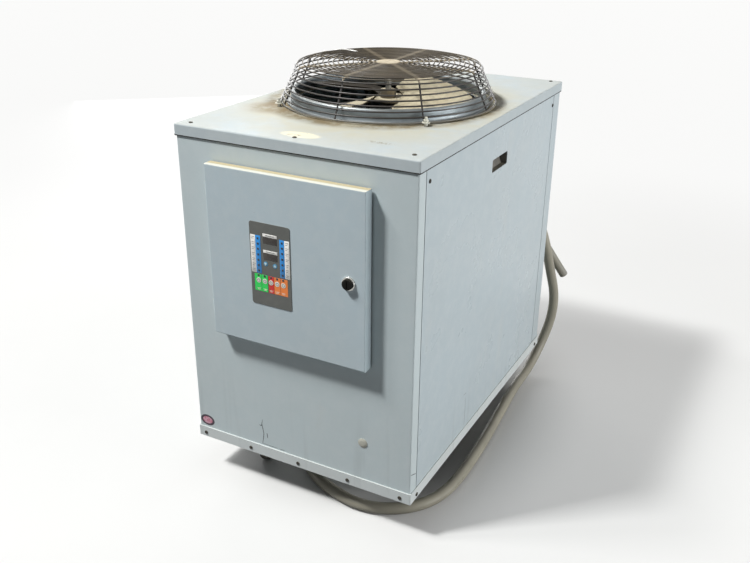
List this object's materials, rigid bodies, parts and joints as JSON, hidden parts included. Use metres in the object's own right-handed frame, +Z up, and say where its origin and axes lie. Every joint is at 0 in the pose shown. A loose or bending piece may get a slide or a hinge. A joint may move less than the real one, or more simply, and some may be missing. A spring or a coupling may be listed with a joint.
{
  "type": "portable water chiller",
  "caption": "Cabinet water chiller on casters, with a hinged control door, an upward-blowing guarded fan, an air intake at the back and a free conduit.",
  "frame": {"origin": "on the floor, under the middle of the cabinet (bottom centre of the box without the cords)", "axes": "+Z up; the front with the control door faces -Y; +X is to the right seen from the front"},
  "size_m": [0.7302, 1.2668, 1.1523],
  "materials": {
    "cabinet_paint": "semi-gloss",
    "grey_plastic": "matte",
    "bare_aluminium": "satin",
    "coil_fins": "satin",
    "galvanised": "satin",
    "dark_wire": "satin",
    "plated_steel": "satin",
    "motor_paint": "satin",
    "dusty_aluminium": "matte",
    "sub_panel_paint": "satin",
    "switch_plastic": "matte",
    "foam_rubber": "matte",
    "keypad_film": "satin",
    "chrome_ring": "polished",
    "black_plastic": "gloss",
    "pale_plastic": "matte",
    "brass_fitting": "satin",
    "conduit_jacket": "satin",
    "caster_rubber": "matte"
  },
  "bodies": {
    "root": {"base_tray": "cabinet_paint", "front_panel": "cabinet_paint", "left_side_panel": "cabinet_paint", "right_side_panel": "cabinet_paint", "left_handle_cup": "grey_plastic", "right_handle_cup": "grey_plastic", "back_panel": "cabinet_paint", "intake_grille": "bare_aluminium", "condenser_coil": "coil_fins", "top_cover": "cabinet_paint", "fan_collar": "galvanised", "guard_side_rings": "dark_wire", "guard_top_rings": "dark_wire", "guard_ribs": "dark_wire", "guard_hub": "dark_wire", "guard_clips": "plated_steel", "fan_motor": "motor_paint", "motor_bracket": "galvanised", "control_box": "galvanised", "sub_panel": "sub_panel_paint", "switchgear": "switch_plastic", "hinge_sockets": "cabinet_paint", "plug_button": "pale_plastic", "water_inlet": "bare_aluminium", "water_outlet": "bare_aluminium", "drain_valve": "brass_fitting", "conduit_elbow": "grey_plastic", "hose_elbow": "grey_plastic", "power_conduit": "conduit_jacket", "drain_hose": "conduit_jacket", "conduit_fitting": "grey_plastic", "caster_plates": "plated_steel"},
    "fan": {"fan_shaft": "plated_steel", "fan_propeller": "dusty_aluminium"},
    "door": {"door_skin": "cabinet_paint", "door_gasket": "foam_rubber", "keypad": "keypad_film", "latch_bezel": "chrome_ring", "hinge_leaves": "cabinet_paint"},
    "latch": {"latch_head": "black_plastic"},
    "swivel_front_left": {"caster_fork_front_left": "plated_steel"},
    "wheel_front_left": {"caster_wheel_front_left": "caster_rubber"},
    "swivel_front_right": {"caster_fork_front_right": "plated_steel"},
    "wheel_front_right": {"caster_wheel_front_right": "caster_rubber"},
    "swivel_back_left": {"caster_fork_back_left": "plated_steel"},
    "wheel_back_left": {"caster_wheel_back_left": "caster_rubber"},
    "swivel_back_right": {"caster_fork_back_right": "plated_steel"},
    "wheel_back_right": {"caster_wheel_back_right": "caster_rubber"}
  },
  "joints": [
    {"name": "fan_spin", "type": "hinge", "parent": "root", "child": "fan", "pos_m": [0, -0.007, 1.043], "axis": [0, 0, 1], "continuous": true},
    {"name": "door_hinge", "type": "hinge", "parent": "root", "child": "door", "pos_m": [-0.241, -0.534, 0.72725], "axis": [0, 0, -1], "range_deg": [0, 110]},
    {"name": "latch_turn", "type": "hinge", "parent": "door", "child": "latch", "pos_m": [0.181, -0.551, 0.7255], "axis": [0, -1, 0], "range_deg": [0, 90]},
    {"name": "swivel_front_left", "type": "hinge", "parent": "root", "child": "swivel_front_left", "pos_m": [-0.205, -0.365, 0.1], "axis": [0, 0, 1], "continuous": true},
    {"name": "roll_front_left", "type": "hinge", "parent": "swivel_front_left", "child": "wheel_front_left", "pos_m": [-0.19697, -0.38973, 0.04], "axis": [0.9511, 0.309, 0], "continuous": true},
    {"name": "swivel_front_right", "type": "hinge", "parent": "root", "child": "swivel_front_right", "pos_m": [0.205, -0.365, 0.1], "axis": [0, 0, 1], "continuous": true},
    {"name": "roll_front_right", "type": "hinge", "parent": "swivel_front_right", "child": "wheel_front_right", "pos_m": [0.20273, -0.3391, 0.04], "axis": [-0.9962, -0.0872, 0], "continuous": true},
    {"name": "swivel_back_left", "type": "hinge", "parent": "root", "child": "swivel_back_left", "pos_m": [-0.205, 0.365, 0.1], "axis": [0, 0, 1], "continuous": true},
    {"name": "roll_back_left", "type": "hinge", "parent": "swivel_back_left", "child": "wheel_back_left", "pos_m": [-0.20952, 0.3906, 0.04], "axis": [-0.9848, -0.1736, 0], "continuous": true},
    {"name": "swivel_back_right", "type": "hinge", "parent": "root", "child": "swivel_back_right", "pos_m": [0.205, 0.365, 0.1], "axis": [0, 0, 1], "continuous": true},
    {"name": "roll_back_right", "type": "hinge", "parent": "swivel_back_right", "child": "wheel_back_right", "pos_m": [0.21389, 0.38943, 0.04], "axis": [-0.9397, 0.342, 0], "continuous": true}
  ]
}
